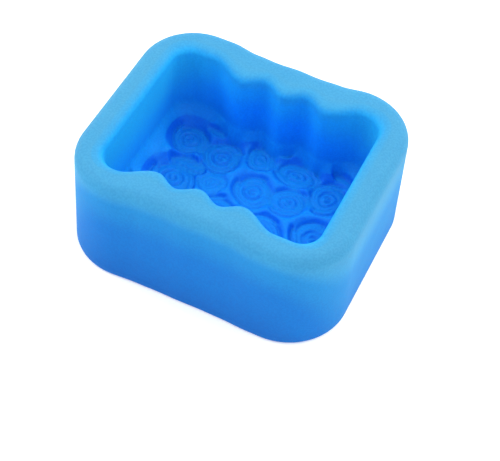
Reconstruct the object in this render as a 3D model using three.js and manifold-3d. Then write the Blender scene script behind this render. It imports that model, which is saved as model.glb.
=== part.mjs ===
// Silicone soap mould: one thick-walled block of cast silicone, open at the top. The cavity casts one bar of
// soap. Its long walls are scalloped, and its floor carries the bar's relief, a bed of roses and a leaf.
// Millimetres, +Z up. The origin is the centre of the base, and X runs along the length.
import * as THREE from "three";
import { mergeVertices } from "three/addons/utils/BufferGeometryUtils.js";
import Module from "manifold-3d";

const wasm = await Module();
wasm.setup();

// The bar that the cavity casts
const barLength = 78.4;
const barWidth = 61.9; // over its corners, where it is widest
const barDepth = 29.4; // from the flat back to the ground between the roses
const barCornerRadius = 7.5;
const shoulderRadius = 5; // where the bar's sides turn into its face
const shoulderNarrowing = 3.6; // how far the shoulder draws in, as it also loses the scallops

// The silicone around it
const endWall = 10.8;
const sideWall = 11; // at the corners
const cavityShift = 0.8; // how much nearer to the front wall the cavity is than to the back one
const floorThickness = 9; // under the deepest rose
const outerCornerRadius = 20.6;
const endFlare = 0.75; // how far each end stands out at the base
const sideFlare = 1.5;
const rimRadius = 4.5; // round over of the rim's outer edge
const mouthRadius = 2.8; // round over of the cavity's mouth
const baseRadius = 1;

// The scallops: ridges of silicone, one pitch apart, that run down each long wall
const ridgePitch = 15.6;
const ridgeShift = 2.8; // from the middle, to -X on the front wall and to +X on the back one
const barCornerRun = 13; // from the last ridge to where the wall is at its full width
const barRidge = 5.6; // how far a ridge stands into the cavity
const barRecess = 3.4; // how far the wall goes back between two ridges
const outerRidge = 1.6; // the outside draws in as the cavity does, but more softly
const outerRecess = -0.4; // and goes in a little further between two ridges
const outerCornerRun = 11;
const baseCalm = 0.7; // share of the outside's scallops that is gone at the base

// The relief
const roseDepth = 4.4; // below the ground, of a rose whose depth is 1
const wallClearance = 1; // between the relief and the foot of the wall, so that no rose undercuts it
const faceBorder = 1.4; // between the bar's side and the outermost roses
const petals = 5; // in each ring of a rose
const petalSwell = 0.06; // how far a petal stands out of its ring, as a share of the radius
const ringTurn = 3 * Math.PI; // from the bud out to the last ring, in petals' phase
const overlap = 2; // how far a cutter reaches into the open cavity

// Places are shares of the room that the border and the rose's own size leave, from -1 to 1.
const roses = [
  { x: -0.91, y: -0.98, radius: 8.2, depth: 1 },
  { x: -0.33, y: -1.0, radius: 7.6, depth: 1 },
  { x: 0.21, y: -1.06, radius: 7.8, depth: 1 },
  { x: 0.89, y: -1.0, radius: 9.0, depth: 1 },
  { x: -0.51, y: -0.37, radius: 4.6, depth: 0.8 },
  { x: -0.17, y: -0.38, radius: 7.6, depth: 1 },
  { x: 0.4, y: -0.4, radius: 7.9, depth: 1 },
  { x: 1.0, y: -0.15, radius: 7.9, depth: 1 },
  { x: -0.87, y: -0.06, radius: 8.0, depth: 0.9 },
  { x: -0.37, y: 0.1, radius: 5.0, depth: 0.8 },
  { x: 0.09, y: 0.28, radius: 7.2, depth: 1 },
  { x: 0.51, y: 0.33, radius: 7.0, depth: 1 },
  { x: -0.92, y: 0.8, radius: 7.0, depth: 1 },
  { x: -0.48, y: 0.71, radius: 7.6, depth: 1 },
  { x: -0.03, y: 0.89, radius: 5.6, depth: 0.85 },
  { x: 0.44, y: 0.9, radius: 6.8, depth: 0.9 },
  { x: 0.92, y: 0.71, radius: 7.6, depth: 1 },
];
const leaf = { x: -0.81, y: 0.24, length: 15.5, width: 10.5, depth: 0.86, turn: -4 };

// Smoothness
const cornerSteps = 6;
const sideSteps = 38;
const roundSteps = 3;
const roseSteps = 20;

// Worked out from the dimensions above
const halfLength = barLength / 2;
const halfWidth = barWidth / 2;
const groundHeight = floorThickness + roseDepth;
const height = groundHeight + barDepth;

const silicone = new THREE.MeshStandardMaterial({ color: 0x1e8ce6, roughness: 0.5, metalness: 0 });

// How far a scalloped long wall stands in from its widest, at x along the front wall.
function scallop(x, { ridge, recess, cornerRun }) {
  const away = Math.abs(x + ridgeShift);
  if (away <= ridgePitch) return ridge - (recess * (1 - Math.cos((2 * Math.PI * away) / ridgePitch))) / 2;
  const run = Math.min((away - ridgePitch) / cornerRun, 1);
  return (ridge * (1 + Math.cos(Math.PI * run))) / 2;
}

// One level of an outline, counter-clockwise seen from above: a rectangle with round corners and scalloped
// long sides. The back wall is the front one turned half round, so both are made by the same half.
function outline({ halfX, halfY, radius, waves, z }) {
  const half = [];
  for (let i = 0; i <= cornerSteps; i++) {
    const turn = Math.PI + ((Math.PI / 2) * i) / cornerSteps;
    const x = -halfX + radius + radius * Math.cos(turn);
    half.push([x, -halfY + radius + radius * Math.sin(turn)]);
  }
  const straight = halfX - radius;
  for (let i = 1; i < sideSteps; i++) half.push([-straight + (2 * straight * i) / sideSteps, -halfY]);
  for (let i = 0; i <= cornerSteps; i++) {
    const turn = (Math.PI * 3) / 2 + ((Math.PI / 2) * i) / cornerSteps;
    half.push([halfX - radius + radius * Math.cos(turn), -halfY + radius + radius * Math.sin(turn)]);
  }
  // The scallop fades out round the corners, where the outline leaves the long side.
  const wavy = half.map(([x, y]) => {
    const share = Math.max(0, Math.min(1, (-y - halfY + radius) / radius));
    return [x, y + share * scallop(x, waves)];
  });
  const turned = wavy.map(([x, y]) => [-x, -y]);
  return [...wavy, ...turned].map(([x, y]) => new THREE.Vector3(x, y, z));
}

// A closed solid through outlines that are stacked from the lowest to the highest.
function loft(levels) {
  const count = levels[0].length;
  const positions = levels.flat().flatMap((point) => point.toArray());
  const flat = (level) => level.map((point) => new THREE.Vector2(point.x, point.y));
  const faces = [];
  THREE.ShapeUtils.triangulateShape(flat(levels[0]), []).forEach(([a, b, c]) => faces.push(c, b, a));
  for (let level = 0; level < levels.length - 1; level++) {
    for (let i = 0; i < count; i++) {
      const a = level * count + i;
      const b = level * count + ((i + 1) % count);
      faces.push(a, b, b + count, a, b + count, a + count);
    }
  }
  const top = (levels.length - 1) * count;
  const lid = THREE.ShapeUtils.triangulateShape(flat(levels[levels.length - 1]), []);
  lid.forEach(([a, b, c]) => faces.push(top + a, top + b, top + c));
  const geometry = new THREE.BufferGeometry();
  geometry.setAttribute("position", new THREE.Float32BufferAttribute(positions, 3));
  geometry.setIndex(faces);
  return geometry;
}

// A quarter round in steps: how far it is across and up, as shares of the radius.
function quarterRound() {
  return Array.from({ length: roundSteps + 1 }, (_, i) => {
    const turn = ((Math.PI / 2) * i) / roundSteps;
    return { across: 1 - Math.cos(turn), up: Math.sin(turn) };
  });
}

// The outside of the block, with no cavity in it.
function block() {
  const level = (z, inset) => {
    const low = 1 - z / height;
    const wavy = 1 - baseCalm * low;
    return outline({
      halfX: halfLength + endWall + endFlare * low - inset,
      halfY: halfWidth + sideWall + sideFlare * low - inset,
      radius: outerCornerRadius + sideFlare * low - inset,
      waves: { ridge: outerRidge * wavy, recess: outerRecess * wavy, cornerRun: outerCornerRun },
      z,
    });
  };
  const round = quarterRound();
  const foot = round.map(({ across, up }) => level(baseRadius * (1 - up), baseRadius * across)).reverse();
  const rim = round.map(({ across, up }) => level(height - rimRadius * (1 - up), rimRadius * across));
  return loft([...foot, ...rim]);
}

// One level of the open space inside. A calm of 1 takes all the recesses out of its scallops.
function cavityLevel(z, inset, calm = 0) {
  const ridge = barRidge * (1 - calm / 3);
  return outline({
    halfX: halfLength - inset,
    halfY: halfWidth - inset,
    radius: barCornerRadius - Math.max(0, inset) / 2,
    waves: { ridge, recess: barRecess * (1 - calm), cornerRun: barCornerRun },
    z,
  });
}

// The open space inside, without the relief: it runs past the rim, so that it cuts the mouth open.
function cavity() {
  const round = quarterRound();
  const shoulderAt = ({ across, up }) =>
    cavityLevel(groundHeight + shoulderRadius * (1 - up), shoulderNarrowing * across, across);
  const mouthAt = ({ across, up }) => cavityLevel(height - mouthRadius * (1 - up), -mouthRadius * across);
  const shoulder = round.map(shoulderAt).reverse();
  const mouth = round.map(mouthAt);
  return loft([...shoulder, ...mouth, cavityLevel(height + overlap, -mouthRadius)]);
}

// The room that the walls leave for the relief, straight down to below the deepest rose.
function reliefRoom() {
  const bottom = groundHeight - roseDepth - overlap;
  return loft([cavityLevel(bottom, wallClearance), cavityLevel(groundHeight + overlap, wallClearance)]);
}

// A rose as a cutter that hangs from the ground: a bud, then rings of petals with grooves between them.
// Each ring stands out where its petals are, and is turned against the one inside it.
function roseCutter({ radius, depth }) {
  const deep = roseDepth * depth;
  const rings = [
    [0, 0.84],
    [0.2, 1],
    [0.34, 0.7],
    [0.54, 0.97],
    [0.66, 0.64],
    [0.86, 0.86],
    [1, 0.42],
    [0.94, 0],
  ];
  const profile = rings.map(([out, down]) => new THREE.Vector2(out * radius, -down * deep));
  const rootRadius = profile[profile.length - 1].x;
  profile.push(new THREE.Vector2(rootRadius, overlap), new THREE.Vector2(0, overlap));
  const geometry = new THREE.LatheGeometry(profile, roseSteps).rotateX(Math.PI / 2);
  const spots = geometry.attributes.position;
  for (let i = 0; i < spots.count; i++) {
    if (spots.getZ(i) >= 0) continue;
    const out = Math.hypot(spots.getX(i), spots.getY(i)) / radius;
    const around = Math.atan2(spots.getY(i), spots.getX(i));
    const swell = 1 + petalSwell * Math.cos(petals * around + ringTurn * out);
    spots.setXY(i, spots.getX(i) * swell, spots.getY(i) * swell);
  }
  return geometry;
}

// The leaf as a cutter: two arcs that meet in a point at each end, along X.
function leafCutter({ length, width, depth }) {
  const shape = new THREE.Shape();
  shape.moveTo(-length / 2, 0);
  shape.quadraticCurveTo(0, -width, length / 2, 0);
  shape.quadraticCurveTo(0, width, -length / 2, 0);
  const leafSteps = 8;
  const deep = roseDepth * depth;
  const options = { depth: deep + overlap, bevelEnabled: false, curveSegments: leafSteps };
  return new THREE.ExtrudeGeometry(shape, options).translate(0, 0, -deep);
}

// Puts a cutter on the ground, at its share of the room that there is for one of its size.
function place(geometry, { x, y, turn = 0 }, reachX, reachY) {
  const roomX = halfLength - faceBorder - reachX;
  const roomY = halfWidth - faceBorder - reachY;
  geometry.rotateZ(THREE.MathUtils.degToRad(turn));
  return geometry.translate(x * roomX, y * roomY, groundHeight);
}

function solid(geometry) {
  const bare = geometry.index ? geometry.toNonIndexed() : geometry.clone();
  bare.deleteAttribute("normal");
  bare.deleteAttribute("uv");
  const merged = mergeVertices(bare, 1e-4);
  const vertProperties = merged.attributes.position.array;
  const triVerts = new Uint32Array(merged.index.array);
  return new wasm.Manifold(new wasm.Mesh({ numProp: 3, vertProperties, triVerts }));
}

function geometryOf(manifold) {
  const { vertProperties, triVerts } = manifold.getMesh();
  const geometry = new THREE.BufferGeometry();
  geometry.setAttribute("position", new THREE.BufferAttribute(vertProperties, 3));
  geometry.setIndex(new THREE.BufferAttribute(triVerts, 1));
  geometry.computeVertexNormals();
  return geometry;
}

function mouldBody() {
  let relief = solid(place(leafCutter(leaf), leaf, leaf.length / 2, leaf.width / 2));
  for (const rose of roses) {
    relief = relief.add(solid(place(roseCutter(rose), rose, rose.radius, rose.radius)));
  }
  const space = solid(cavity()).add(relief.intersect(solid(reliefRoom())));
  const moved = space.translate([0, -cavityShift, 0]);
  const mesh = new THREE.Mesh(geometryOf(solid(block()).subtract(moved)), silicone);
  mesh.name = "mould_body";
  return mesh;
}

const part = new THREE.Group();
part.add(mouldBody());

export default part;
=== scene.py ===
"""Silicone soap mould: one fine closed mesh of the cast block, with its scalloped cavity and the relief of
roses and leaves on the cavity's floor, in satin, slightly translucent blue silicone. Metres, +Z up."""

import math

import bpy
import numpy as np
from mathutils import Matrix, Vector


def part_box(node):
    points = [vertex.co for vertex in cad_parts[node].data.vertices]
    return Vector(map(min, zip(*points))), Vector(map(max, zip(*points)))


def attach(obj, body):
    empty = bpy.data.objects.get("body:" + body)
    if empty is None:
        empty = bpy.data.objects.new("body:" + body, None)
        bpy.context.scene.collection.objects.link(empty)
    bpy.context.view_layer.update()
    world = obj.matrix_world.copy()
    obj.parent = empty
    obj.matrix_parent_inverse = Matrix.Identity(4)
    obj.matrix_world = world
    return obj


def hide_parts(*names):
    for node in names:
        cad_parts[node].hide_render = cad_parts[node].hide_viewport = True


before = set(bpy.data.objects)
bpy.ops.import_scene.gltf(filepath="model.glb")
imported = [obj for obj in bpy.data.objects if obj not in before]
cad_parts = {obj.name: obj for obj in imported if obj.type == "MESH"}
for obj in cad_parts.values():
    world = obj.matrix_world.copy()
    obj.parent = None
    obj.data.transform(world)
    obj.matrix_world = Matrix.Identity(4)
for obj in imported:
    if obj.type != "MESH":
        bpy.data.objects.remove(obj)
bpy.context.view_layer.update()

MM = 0.001

# ---- Sizes in millimetres. The outside follows the frame. ----
low_corner, high_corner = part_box("mould_body")
HEIGHT = high_corner.z / MM
BASE_HALF_X = high_corner.x / MM
BASE_HALF_Y = high_corner.y / MM

END_FLARE = 0.75  # how far the base stands out past the rim, at the ends and at the sides
SIDE_FLARE = 1.5
END_WALL = 10.8
SIDE_WALL = 11.0
CAVITY_SHIFT = 0.8  # the cavity lies this much nearer to the front wall
MOUTH_HALF_X = BASE_HALF_X - END_FLARE - END_WALL
MOUTH_HALF_Y = BASE_HALF_Y - SIDE_FLARE - SIDE_WALL
OUTER_CORNER = 20.6
INNER_CORNER = 7.5
FOOT_RADIUS = 1.0
RIM_RADIUS = 4.5
MOUTH_RADIUS = 2.8
GROUND = 13.4  # height of the relief's ground, between the roses
SHOULDER = 5.0  # round of the wall into the ground
FLOOR_INSET = 0.5  # where the wall's outlines end and the floor's grid starts

# Ridges that run down the long walls, in the cavity and, more softly, outside.
RIDGE_PITCH = 15.6
RIDGE_SHIFT = 2.8
INNER_WAVES = (5.6, 3.4, 13.0)  # ridge, recess between two ridges, run to the corner
OUTER_WAVES = (1.6, -0.4, 11.0)
BASE_CALM = 0.7  # share of the outer ridges that is gone at the foot

# ---- How fine the mesh is ----
SIDE_STEPS = 256  # along each long side
END_STEPS = 188
WALL_STEPS = 9
ROUND_STEPS = 9
FOOT_STEPS = 4
RIM_SHARES = (0.25, 0.5, 0.75)  # outlines across the rim's flat top
SHOULDER_INSETS = (0.08, 0.25)  # outlines at the start of the shoulder
CHUNK = 2000  # points whose distance to the wall is worked out together

# Roses, as they stand on the bar that is cast: middle x and y, half width and half depth, turn in degrees,
# height over the ground. In the mould they are sunk that deep.
ROSES = [
    (-26.9, -20.9, 8.6, 8.6, 20, 4.3),
    (-10.1, -22.0, 8.0, 7.0, 140, 4.1),
    (6.4, -24.0, 8.8, 6.8, 250, 4.1),
    (25.6, -20.6, 9.4, 9.2, 300, 4.4),
    (-16.9, -9.3, 4.8, 5.4, 75, 3.4),
    (-5.1, -8.3, 8.2, 7.8, 200, 4.4),
    (12.0, -8.6, 8.6, 7.8, 35, 4.4),
    (30.3, -3.3, 8.4, 8.8, 110, 4.3),
    (-25.9, -1.2, 8.5, 8.2, 330, 4.0),
    (-12.0, 2.6, 5.4, 5.2, 215, 3.5),
    (2.6, 6.2, 7.6, 8.0, 160, 4.4),
    (15.7, 7.6, 7.2, 6.8, 280, 4.3),
    (-28.4, 18.1, 7.2, 7.6, 60, 4.3),
    (-14.4, 15.7, 7.9, 7.9, 5, 4.4),
    (-1.1, 21.3, 5.8, 5.8, 240, 3.9),
    (13.5, 20.3, 8.2, 5.8, 175, 4.0),
    (27.8, 15.7, 7.6, 7.8, 95, 4.3),
]

# Leaves, in the same way: middle x and y, half length and half width, turn in degrees, height.
LEAVES = [
    (-23.6, 6.8, 7.6, 5.2, -4, 3.9),
    (-37.0, -13.5, 4.6, 2.6, 100, 2.2),
    (37.4, -17.5, 4.6, 2.6, 80, 2.2),
    (36.4, 8.0, 4.4, 2.4, 95, 2.1),
    (-20.6, 25.0, 4.6, 2.2, 170, 2.2),
    (5.6, 26.4, 4.2, 2.2, 20, 2.1),
    (29.5, 25.2, 5.4, 2.8, 160, 2.5),
    (-1.6, -27.2, 3.6, 2.0, 30, 2.1),
]

# A rose's petals, layer by layer from the bud: how many, lip radius as a share of the rose's own, width
# of the lip's outer side, how deep the petal's inside is, and the height of its lip.
PETAL_LAYERS = [
    (1, 0.16, 0.12, 0.50, 1.00),
    (2, 0.42, 0.16, 0.74, 0.99),
    (3, 0.66, 0.16, 0.66, 0.90),
    (4, 0.88, 0.18, 0.70, 0.97),
]
PETAL_OVERLAP = 1.45
PETAL_TUCK = 0.11  # one end of a petal lies this much further out than the other
PETAL_DROOP = 0.05  # how much lower its lip is at both ends
PETAL_END = (0.72, 1.2)  # share of its half span where an end falls away, and how far it falls
PETAL_WOBBLE = 0.05  # how much petals differ in radius
PETAL_PHASES = (3.1, 1.7, 2.3)  # by petal, layer and rose
LIP_ROUND = 0.13
LIP_POWER = 1.6
LAYER_TURN = 1.1  # radians from one layer to the next
ROSE_TURN = 0.7  # radians from one rose to the next
ROSE_WOBBLE = ((2, 0.035), (3, 0.03))  # waves round a rose's outline, and their height
HEART = (0.9, 0.5)  # radius and height of the dome under the petals
SKIRT = (0.92, 1.26, 0.72)  # share of the radius where it starts and ends, and its height
SKIRT_JOIN = 2.0  # how softly the skirts of neighbours run together
PAST_EDGE = -1.0  # height that marks a place outside a rose or a leaf

VEINS = (3.4, 1.5)  # how many a leaf's half has, and how far they slant
VEIN_RISE = 0.45
LEAF_POWER = 0.62  # how full its outline is
LEAF_TEETH = 0.12
LEAF_ROUND = 0.7
LEAF_DOME = 0.9
LEAF_GROOVE = (0.55, 0.5)  # depth and half width

# The ground between the roses. A run is the distance over which something comes in.
CREST = 0.9  # how far the ground swells up in the gaps between roses
CREST_RUN = 2.5
CREST_WALL = (4.0, 2.0)  # distance from the wall where the swell starts, and its run
WALL_RUN = 0.7
PIT_EDGE = 1.2  # height of a skirt at which its pit is whole
NARROW = (60, 0.95, 3.4)  # blur steps, share of ground where a ridge counts as narrow, how much lower it is
GROUND_BLUR = 14
RELIEF_BLUR = 3

# ---- Painted shade and light in the silicone's colour: deeper into the cavity, down the outer walls and on steep relief, lighter near the end walls ----
RIM_SPREAD = 1.8  # inward from the middle of the rim
RIM_SHADE_SHARE = 0.05  # share of the outside's painted shade that is there at the rim already
END_SHADE_SHARE = 0.4  # how far the ends' outside takes the painted shade, against the long sides
SIDE_POWER = 3  # how soon the painted shade deepens round the corners
STEEPEST = 1.4  # slope at which a place counts as wholly steep
STEEP_BLUR = 3
STEEP_WALL = (0.6, 2.0)  # distance from the wall where steep places start to count, and its run
STEEP_DEPTH = 0.5  # how far below the ground it counts wholly
END_GLOW = 26.0  # how far from the end walls the light that comes through them reaches
GLOW_DEPTH = (2.0, 8.0)  # how far in from the rim it starts, and its run
GLOW_FADE = 1.25  # share of the cavity's depth where it is gone

# Colours along a ramp, each with its place from 0 to 1.
# Painted shade and light: light and grey on the rim, which faces the lamps, deeper blue down into the
# cavity, darker on its floor.
CAVITY_SHADE_COLOURS = [
    (0.0, (0.060, 0.295, 0.50)),
    (0.06, (0.045, 0.30, 0.55)),
    (0.17, (0.018, 0.345, 0.76)),
    (0.3, (0.010, 0.37, 0.90)),
    (0.55, (0.005, 0.31, 0.96)),
    (0.87, (0.004, 0.265, 0.80)),
    (1.0, (0.004, 0.235, 0.70)),
]
# Painted shade down the outer walls, from light under the rim to deep towards the foot.
OUTSIDE_SHADE_COLOURS = [
    (0.1, (0.036, 0.31, 0.61)),
    (0.22, (0.012, 0.235, 0.575)),
    (0.5, (0.004, 0.17, 0.55)),
    (1.0, (0.004, 0.135, 0.485)),
]
OUTSIDE_SHARE = [(0.0, (0, 0, 0)), (0.2, (1, 1, 1))]
CLOUD_COLOURS = [(0.3, (0.94, 0.96, 0.98)), (0.7, (1.0, 1.0, 1.0))]
GRAIN_COLOURS = [(0.35, (0.84, 0.89, 0.93)), (0.65, (1.0, 1.0, 1.0))]
GLOW_COLOUR = (0.020, 0.46, 0.80, 1)
# Painted shade on the relief's steep walls.
STEEP_SHADE_COLOUR = (0.002, 0.16, 0.74, 1)
CLOUD_SCALE = 70.0
GRAIN_SCALE = 1400.0
ROUGHNESS = (0.5, 0.68)
FINE_BUMP = (0.12, 0.0002)  # strength, and height in metres
SOFT_BUMP = (0.25, 0.001)

# ---- Studio, in metres and watts ----
FLOOR_HALF = 3.0
FLOOR_DROP = 0.0001
FLOOR_COLOUR = (0.93, 0.93, 0.93, 1)
FLOOR_GLOW = 0.2
WORLD_STRENGTH = 1.06
LAMPS = [("key", (0.3, 0.35, 0.7), 1.0, 4.5), ("fill", (-0.6, -0.1, 0.6), 0.5, 2.5)]
LAMP_AIM = (0, 0, 0.03)
EYE = (0.1162, -0.2848, 0.3753)
EYE_AIM = (0.0089, -0.0100, 0.0091)
ROLL = math.radians(5.22)
LENS = 97.2
SENSOR = 36


def smooth(t):
    t = np.clip(t, 0.0, 1.0)
    return t * t * (3 - 2 * t)


# ---- Outlines ----
def scallop(x, ridge, recess, run):
    """How far a long wall stands in from its widest, at x along the front wall."""
    away = np.abs(x + RIDGE_SHIFT)
    between = ridge - recess * (1 - np.cos(2 * np.pi * away / RIDGE_PITCH)) / 2
    corner = np.clip((away - RIDGE_PITCH) / run, 0, 1)
    return np.where(away <= RIDGE_PITCH, between, ridge * (1 + np.cos(np.pi * corner)) / 2)


def side_points(half_along, half_across, radius, steps):
    """Evenly spaced points along the side at -half_across, from the middle of one corner to the next."""
    arc = math.pi * radius / 4
    straight = 2 * (half_along - radius)
    at = np.linspace(0, 2 * arc + straight, steps + 1)[:-1]
    first = math.pi / 4 + np.clip(at, 0, arc) / radius
    last = np.clip(at - arc - straight, 0, arc) / radius
    along = radius - half_along - radius * np.cos(first) + np.clip(at - arc, 0, straight)
    across = radius - half_across - radius * np.sin(first)
    return along + radius * np.sin(last), across + radius * (1 - np.cos(last))


def ring(half_x, half_y, radius, waves):
    """A closed outline, counter-clockwise: front, right end, back, left end."""
    front = np.stack(side_points(half_x, half_y, radius, SIDE_STEPS), 1)
    along, across = side_points(half_y, half_x, radius, END_STEPS)
    half = np.concatenate([front, np.stack([-across, along], 1)])
    x, y = half[:, 0], half[:, 1]
    at_front = np.clip((radius - half_y - y) / radius, 0, 1)
    at_back = np.clip((radius - half_y + y) / radius, 0, 1)
    half[:, 1] += at_front * scallop(x, *waves) - at_back * scallop(-x, *waves)
    return np.concatenate([half, -half])


def level(points, z):
    return np.column_stack([points, np.full(len(points), z)])


def outer_level(z, inset):
    low = 1 - z / HEIGHT
    ridge, recess, run = OUTER_WAVES
    calm = 1 - BASE_CALM * low
    half_x = BASE_HALF_X - END_FLARE * (1 - low) - inset
    half_y = BASE_HALF_Y - SIDE_FLARE * (1 - low) - inset
    radius = OUTER_CORNER + SIDE_FLARE * low - inset
    return level(ring(half_x, half_y, radius, (ridge * calm, recess * calm, run)), z)


def inner_level(z, inset):
    radius = INNER_CORNER - max(0.0, inset) / 2
    points = ring(MOUTH_HALF_X - inset, MOUTH_HALF_Y - inset, radius, INNER_WAVES)
    return level(points - [0.0, CAVITY_SHIFT], z)


def shoulder_rise(distance):
    """How far the shoulder is above the ground, at a distance from the wall."""
    share = np.clip(1 - distance / SHOULDER, 0, 1)
    return SHOULDER * (1 - np.sqrt(1 - share**2))


def skin_levels():
    """The skin as stacked outlines: round the foot, up the outside, over the rim and down the inside. With
    each, how far inward it lies from the middle of the rim, or 0 on the outer half."""
    levels = []
    for turn in np.linspace(0, math.pi / 2, FOOT_STEPS):
        levels.append(outer_level(FOOT_RADIUS * (1 - math.cos(turn)), FOOT_RADIUS * (1 - math.sin(turn))))
    top = HEIGHT - RIM_RADIUS
    for z in np.linspace(FOOT_RADIUS, top, WALL_STEPS + 2)[1:-1]:
        levels.append(outer_level(z, 0))
    for turn in np.linspace(0, math.pi / 2, ROUND_STEPS):
        levels.append(outer_level(top + RIM_RADIUS * math.sin(turn), RIM_RADIUS * (1 - math.cos(turn))))
    outer_edge = levels[-1]
    inner_edge = inner_level(HEIGHT, -MOUTH_RADIUS)
    for share in RIM_SHARES:
        levels.append(outer_edge * (1 - share) + inner_edge * share)
    spread = [0.0] * (len(levels) - 1) + [RIM_SPREAD / 2]
    for turn in np.linspace(0, math.pi / 2, ROUND_STEPS):
        z = HEIGHT - MOUTH_RADIUS * (1 - math.cos(turn))
        levels.append(inner_level(z, MOUTH_RADIUS * (math.sin(turn) - 1)))
        spread.append(RIM_SPREAD + MOUTH_RADIUS * math.sin(turn))
    for z in np.linspace(HEIGHT - MOUTH_RADIUS, GROUND + SHOULDER, WALL_STEPS)[1:]:
        levels.append(inner_level(z, 0))
    for inset in SHOULDER_INSETS:
        levels.append(inner_level(GROUND + shoulder_rise(inset), inset))
    spread += [RIM_SPREAD + MOUTH_RADIUS] * (len(levels) - len(spread))
    return levels, spread


# ---- The relief ----
def petal(share_out, angle, middle, half_span, lip, layer):
    """Height of one petal, as a share of its rose's height."""
    _, _, outer_side, hollow, tall = layer
    turn = (angle - middle + math.pi) % (2 * math.pi) - math.pi
    along = turn / half_span
    out = share_out - lip * (1 - PETAL_TUCK * along)
    end, fall = PETAL_END
    top = tall * (1 - PETAL_DROOP * along**2) - fall * smooth((np.abs(along) - end) / (1 - end))
    inside = top - hollow * (1 - np.exp(-((np.maximum(-out, 0) / LIP_ROUND) ** LIP_POWER)))
    slope = top * (1 + np.cos(np.pi * np.clip(out / outer_side, 0, 1))) / 2
    beyond = np.where(out > outer_side, PAST_EDGE, slope)
    return np.where(np.abs(along) > 1, PAST_EDGE, np.where(out < 0, inside, beyond))


def rose(x, y, place, index):
    """Height of a rose over the ground, below zero outside it, its skirt, and the distance to its edge."""
    middle_x, middle_y, wide, deep, turn, tall = place
    across = (x - middle_x) / wide
    along = (y - middle_y) / deep
    angle = np.arctan2(along, across) - math.radians(turn)
    wobble = sum(rise * np.cos(waves * angle + (waves - 1) * index) for waves, rise in ROSE_WOBBLE)
    out = np.hypot(across, along) * (1 + wobble)
    heart, dome = HEART
    height = np.where(out > heart, PAST_EDGE, dome * np.sqrt(np.clip(1 - (out / heart) ** 2, 0, 1)))
    by_petal, by_layer, by_rose = PETAL_PHASES
    for number, layer in enumerate(PETAL_LAYERS):
        count, radius = layer[:2]
        half_span = min(math.pi, math.pi / count * PETAL_OVERLAP)
        for i in range(count):
            start = 2 * math.pi * i / count + number * LAYER_TURN + index * ROSE_TURN
            phase = by_petal * i + by_layer * number + by_rose * index
            lip = radius * (1 + PETAL_WOBBLE * math.sin(phase))
            height = np.maximum(height, petal(out, angle, start, half_span, lip, layer))
    start, end, share = SKIRT
    skirt = share * tall * (1 - smooth((out - start) / (end - start)))
    return height * tall, skirt, (out - 1) * (wide + deep) / 2


def leaf(x, y, place):
    """Height of a leaf over the ground, with a groove along its middle and veins to a toothed edge."""
    middle_x, middle_y, half_length, half_width, turn, tall = place
    turn = math.radians(turn)
    along = ((x - middle_x) * math.cos(turn) + (y - middle_y) * math.sin(turn)) / half_length
    across = ((y - middle_y) * math.cos(turn) - (x - middle_x) * math.sin(turn)) / half_width
    count, slant = VEINS
    veins = (along * count - np.abs(across) * slant) % 1
    edge = np.clip(1 - along**2, 0, 1) ** LEAF_POWER * (1 - LEAF_TEETH * veins)
    inside = smooth((edge - np.abs(across)) * half_width / LEAF_ROUND)
    depth, half_groove = LEAF_GROOVE
    groove = depth * np.exp(-((across * half_width / half_groove) ** 2))
    height = tall - groove + VEIN_RISE * veins - LEAF_DOME * across**2
    return np.where((np.abs(along) < 1) & (inside > 0), height * inside, PAST_EDGE)


def blur(grid, steps):
    """Rounds the grid's heights over their neighbours, with the border as it is."""
    for _ in range(steps):
        inner = grid[1:-1, 1:-1]
        cross = grid[:-2, 1:-1] + grid[2:, 1:-1] + grid[1:-1, :-2] + grid[1:-1, 2:]
        diagonal = grid[:-2, :-2] + grid[2:, 2:] + grid[2:, :-2] + grid[:-2, 2:]
        grid[1:-1, 1:-1] = inner / 4 + cross / 8 + diagonal / 16
    return grid


def floor_grid(border):
    """Places of the floor's points between its four sides, which share the border outline's points."""
    right_at, back_at = SIDE_STEPS, SIDE_STEPS + END_STEPS
    left_at = back_at + SIDE_STEPS
    loop = np.concatenate([border, border[:1]])
    front, right = loop[: right_at + 1], loop[right_at : back_at + 1]
    back, left = loop[back_at : left_at + 1][::-1], loop[left_at:][::-1]
    u = np.linspace(0, 1, SIDE_STEPS + 1)[None, :, None]
    v = np.linspace(0, 1, END_STEPS + 1)[:, None, None]
    sides = (1 - v) * front[None] + v * back[None] + (1 - u) * left[:, None] + u * right[:, None]
    corners = (1 - v) * ((1 - u) * front[0] + u * front[-1]) + v * ((1 - u) * back[0] + u * back[-1])
    return sides - corners


def wall_distance(points, outline):
    """Distance from each point to the nearest stretch of the outline."""
    span = np.roll(outline, -1, 0) - outline
    length2 = (span**2).sum(1)
    best = np.empty(len(points))
    for i in range(0, len(points), CHUNK):
        to = points[i : i + CHUNK, None] - outline[None]
        share = np.clip((to * span).sum(2) / length2, 0, 1)
        best[i : i + CHUNK] = np.sqrt(((to - share[..., None] * span) ** 2).sum(2).min(1))
    return best


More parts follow.
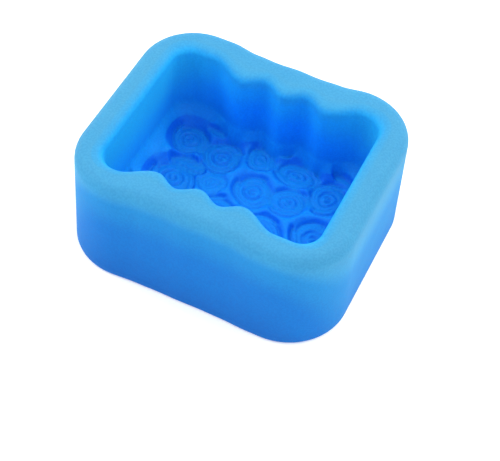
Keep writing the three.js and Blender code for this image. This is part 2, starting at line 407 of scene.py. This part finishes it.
def floor_heights(plan):
    """Height of the cavity's floor over a grid of places, and where its pits are, from 0 to 1."""
    x = plan[..., 0]
    y = plan[..., 1] + CAVITY_SHIFT
    wall = inner_level(0, 0)[:, :2]
    distance = wall_distance(plan.reshape(-1, 2), wall).reshape(x.shape)
    bare = GROUND + shoulder_rise(distance)
    relief = np.full(x.shape, PAST_EDGE)
    skirts = np.zeros(x.shape)
    gap = np.full(x.shape, np.inf)
    for index, place in enumerate(ROSES):
        height, skirt, away = rose(x, y, place, index)
        relief = np.maximum(relief, height)
        skirts += skirt**SKIRT_JOIN
        gap = np.minimum(gap, away)
    for place in LEAVES:
        relief = np.maximum(relief, leaf(x, y, place))
    skirt = skirts ** (1 / SKIRT_JOIN)
    crest_start, crest_run = CREST_WALL
    crest = CREST * smooth(gap / CREST_RUN) * smooth((distance - crest_start) / crest_run)
    off_wall = smooth((distance - FLOOR_INSET) / WALL_RUN)
    pit = smooth(skirt / PIT_EDGE) * off_wall
    steps, share, lower = NARROW
    narrow = 1 - smooth(blur(1 - pit, steps) / share)
    land = (1 - pit) * (crest - lower * narrow * off_wall)
    ground = blur(bare + land - pit * (bare - GROUND) - off_wall * skirt, GROUND_BLUR)
    carved = np.where(relief > 0, bare * (1 - off_wall) + (GROUND - relief) * off_wall, ground)
    height = blur(np.minimum(ground, carved), RELIEF_BLUR)
    start, run = STEEP_WALL
    return height, smooth((distance - start) / run) * smooth((GROUND - height) / STEEP_DEPTH)


def steepness(plan, heights):
    """0 where the floor is level, up to 1 where it is steep."""
    along = np.gradient(heights, axis=1) / np.gradient(plan[..., 0], axis=1)
    across = np.gradient(heights, axis=0) / np.gradient(plan[..., 1], axis=0)
    return blur(smooth(np.hypot(along, across) / STEEPEST), STEEP_BLUR)


# ---- The mesh ----
def skin_faces(bands, count):
    """The base, and bands of faces from each outline to the next."""
    faces = [tuple(range(count - 1, -1, -1))]
    for low in range(0, bands * count, count):
        for i in range(count):
            j = (i + 1) % count
            faces.append((low + i, low + j, low + count + j, low + count + i))
    return faces


def floor_faces(rows, columns, border, inner):
    """Faces of the floor's grid. The points of its edge, which is the last outline, are numbered from border
    on, and those inside it from inner on."""
    right = border + columns - 1
    back = right + rows - 1
    left = back + columns - 1
    number = np.empty((rows, columns), int)
    number[1:-1, 1:-1] = inner + np.arange((rows - 2) * (columns - 2)).reshape(rows - 2, columns - 2)
    number[0, :] = border + np.arange(columns)
    number[:, -1] = right + np.arange(rows)
    number[-1, ::-1] = back + np.arange(columns)
    number[:0:-1, 0] = left + np.arange(rows - 1)
    faces = []
    for j in range(rows - 1):
        for i in range(columns - 1):
            faces.append((number[j, i], number[j, i + 1], number[j + 1, i + 1], number[j + 1, i]))
    return faces


def add_shade(mesh, name, values):
    layer = mesh.attributes.new(name, "FLOAT", "POINT")
    layer.data.foreach_set("value", values.astype(np.float32))


def add_shades(mesh, points, levels, spread, steep):
    """Painted shade and light at each point: painted shade that deepens in from the rim, down the outside
    and where the relief is steep, and painted light near the end walls.
    The steep values are those of the mesh's last points."""
    count = len(levels[0])
    on_skin = slice(0, len(levels) * count)
    drop = HEIGHT - points[:, 2]
    across = np.full(len(points), RIM_SPREAD + MOUTH_RADIUS)
    across[on_skin] = np.repeat(spread, count)
    reach = np.where(across > 0, across + drop, 0)
    # Painted shade that deepens from the middle of the rim down into the cavity.
    add_shade(mesh, "cavity", reach / reach.max())

    # Painted shade down the outside, fuller on the long sides than on the ends.
    ahead = np.roll(levels[0], -1, 0) - np.roll(levels[0], 1, 0)
    long_side = np.abs(ahead[:, 0]) / np.hypot(ahead[:, 0], ahead[:, 1])
    facing = np.zeros(len(points))
    facing[on_skin] = np.tile(END_SHADE_SHARE + (1 - END_SHADE_SHARE) * long_side**SIDE_POWER, len(levels))
    add_shade(mesh, "outside", (across <= 0) * facing * (RIM_SHADE_SHARE + (1 - RIM_SHADE_SHARE) * drop / HEIGHT))

    start, run = GLOW_DEPTH
    glow = smooth(1 - (MOUTH_HALF_X - np.abs(points[:, 0])) / END_GLOW) * smooth((reach - start) / run)
    add_shade(mesh, "glow", glow * smooth(GLOW_FADE - drop / (HEIGHT - GROUND)))

    # Painted shade where the relief is steep.
    on_floor = np.zeros(len(points))
    on_floor[-len(steep) :] = steep
    add_shade(mesh, "steep", on_floor)


def mould_mesh():
    levels, spread = skin_levels()
    border = inner_level(GROUND + shoulder_rise(FLOOR_INSET), FLOOR_INSET)
    plan = floor_grid(border[:, :2])
    heights, in_pits = floor_heights(plan)
    rows, columns = heights.shape
    inner = np.dstack([plan, heights])[1:-1, 1:-1].reshape(-1, 3)
    points = np.concatenate(levels + [border, inner])
    count = len(border)
    skin = len(levels) * count
    faces = skin_faces(len(levels), count) + floor_faces(rows, columns, skin, skin + count)

    mesh = bpy.data.meshes.new("mould")
    mesh.from_pydata((points * MM).tolist(), [], faces)
    mesh.shade_smooth()
    steep = steepness(plan, heights) * in_pits
    add_shades(mesh, points, levels, spread, steep[1:-1, 1:-1].ravel())
    return mesh


# ---- Silicone ----
def silicone():
    material = bpy.data.materials.new("silicone")
    material.use_nodes = True
    tree = material.node_tree
    shader = tree.nodes["Principled BSDF"]

    def fill(socket, value):
        if isinstance(value, bpy.types.NodeSocket):
            tree.links.new(value, socket)
        else:
            socket.default_value = value

    def add(kind, **sockets):
        node = tree.nodes.new(kind)
        for name, value in sockets.items():
            fill(node.inputs[name.replace("_", " ")], value)
        return node

    def shade(name):
        node = tree.nodes.new("ShaderNodeAttribute")
        node.attribute_name = name
        return node.outputs["Fac"]

    def ramp(value, stops):
        node = add("ShaderNodeValToRGB", Fac=value)
        node.color_ramp.interpolation = "EASE"
        elements = node.color_ramp.elements
        for element, (at, colour) in zip(elements, (stops[0], stops[-1])):
            element.position = at
            element.color = (*colour, 1)
        for at, colour in stops[1:-1]:
            elements.new(at).color = (*colour, 1)
        return node.outputs["Color"]

    def mix(kind, share, a, b):
        node = tree.nodes.new("ShaderNodeMix")
        node.data_type = "RGBA"
        node.blend_type = kind
        fill(node.inputs[0], share)
        fill(node.inputs[6], a)
        fill(node.inputs[7], b)
        return node.outputs[2]

    place = tree.nodes.new("ShaderNodeTexCoord").outputs["Object"]
    cloud = add("ShaderNodeTexNoise", Vector=place, Scale=CLOUD_SCALE, Detail=3.0).outputs["Fac"]
    grain = add("ShaderNodeTexNoise", Vector=place, Scale=GRAIN_SCALE, Detail=2.0).outputs["Fac"]

    # Painted shade into the cavity, with painted light near the end walls over it.
    colour = mix("MIX", shade("glow"), ramp(shade("cavity"), CAVITY_SHADE_COLOURS), GLOW_COLOUR)
    # Painted shade on the relief's steep walls.
    colour = mix("MIX", shade("steep"), colour, STEEP_SHADE_COLOUR)
    # Painted shade down the outer walls, fuller on the long sides.
    outside = shade("outside")
    colour = mix("MIX", ramp(outside, OUTSIDE_SHARE), colour, ramp(outside, OUTSIDE_SHADE_COLOURS))
    colour = mix("MULTIPLY", 1.0, colour, ramp(cloud, CLOUD_COLOURS))
    colour = mix("MULTIPLY", 1.0, colour, ramp(grain, GRAIN_COLOURS))
    fill(shader.inputs["Base Color"], colour)

    smoothest, roughest = ROUGHNESS
    rough = add("ShaderNodeMapRange", Value=grain, To_Min=smoothest, To_Max=roughest)
    fill(shader.inputs["Roughness"], rough.outputs["Result"])

    strength, height = FINE_BUMP
    fine = add("ShaderNodeBump", Height=grain, Strength=strength, Distance=height).outputs["Normal"]
    strength, height = SOFT_BUMP
    soft = add("ShaderNodeBump", Height=cloud, Strength=strength, Distance=height, Normal=fine)
    fill(shader.inputs["Normal"], soft.outputs["Normal"])

    shader.inputs["Subsurface Weight"].default_value = 0.35
    shader.inputs["Subsurface Radius"].default_value = (0.3, 0.7, 1.0)
    shader.inputs["Subsurface Scale"].default_value = 0.004
    shader.inputs["Specular IOR Level"].default_value = 0.13
    shader.inputs["IOR"].default_value = 1.41
    return material


def put_in_scene(name, data):
    item = bpy.data.objects.new(name, data)
    bpy.context.scene.collection.objects.link(item)
    return item


def mould():
    piece = put_in_scene("silicone_mould", mould_mesh())
    piece.data.materials.append(silicone())
    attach(piece, "root")
    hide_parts("mould_body")


# ---- Floor, light and camera ----
def floor():
    corners = [(-1, -1), (1, -1), (1, 1), (-1, 1)]
    mesh = bpy.data.meshes.new("floor")
    mesh.from_pydata([(x * FLOOR_HALF, y * FLOOR_HALF, 0) for x, y in corners], [], [(0, 1, 2, 3)])
    piece = put_in_scene("floor", mesh)
    piece.location.z = -FLOOR_DROP
    paint = bpy.data.materials.new("floor_white")
    paint.use_nodes = True
    shader = paint.node_tree.nodes["Principled BSDF"]
    shader.inputs["Base Color"].default_value = FLOOR_COLOUR
    shader.inputs["Roughness"].default_value = 0.9
    shader.inputs["Specular IOR Level"].default_value = 0.1
    shader.inputs["Emission Color"].default_value = (1, 1, 1, 1)
    shader.inputs["Emission Strength"].default_value = FLOOR_GLOW
    mesh.materials.append(paint)


def lamp(name, place, size, watts):
    light = bpy.data.lights.new(name, "AREA")
    light.shape = "DISK"
    light.size = size
    light.energy = watts
    item = put_in_scene(name, light)
    item.location = place
    item.rotation_euler = (Vector(LAMP_AIM) - Vector(place)).to_track_quat("-Z", "Y").to_euler()


def studio():
    world = bpy.data.worlds.new("studio")
    world.use_nodes = True
    background = world.node_tree.nodes["Background"]
    background.inputs["Color"].default_value = (1, 1, 1, 1)
    background.inputs["Strength"].default_value = WORLD_STRENGTH
    bpy.context.scene.world = world
    for name, place, size, watts in LAMPS:
        lamp(name, place, size, watts)
    bpy.context.scene.view_settings.view_transform = "Standard"


def camera():
    eye = Vector(EYE)
    forward = (Vector(EYE_AIM) - eye).normalized()
    level_right = forward.cross(Vector((0, 0, 1))).normalized()
    level_up = level_right.cross(forward)
    right = level_right * math.cos(ROLL) + level_up * math.sin(ROLL)
    up = level_up * math.cos(ROLL) - level_right * math.sin(ROLL)
    lens = bpy.data.cameras.new("camera")
    lens.sensor_width = SENSOR
    lens.lens = LENS
    lens.clip_start = 0.01
    item = put_in_scene("camera", lens)
    item.matrix_world = Matrix.Translation(eye) @ Matrix((right, up, -forward)).transposed().to_4x4()
    bpy.context.scene.camera = item


mould()
floor()
studio()
camera()
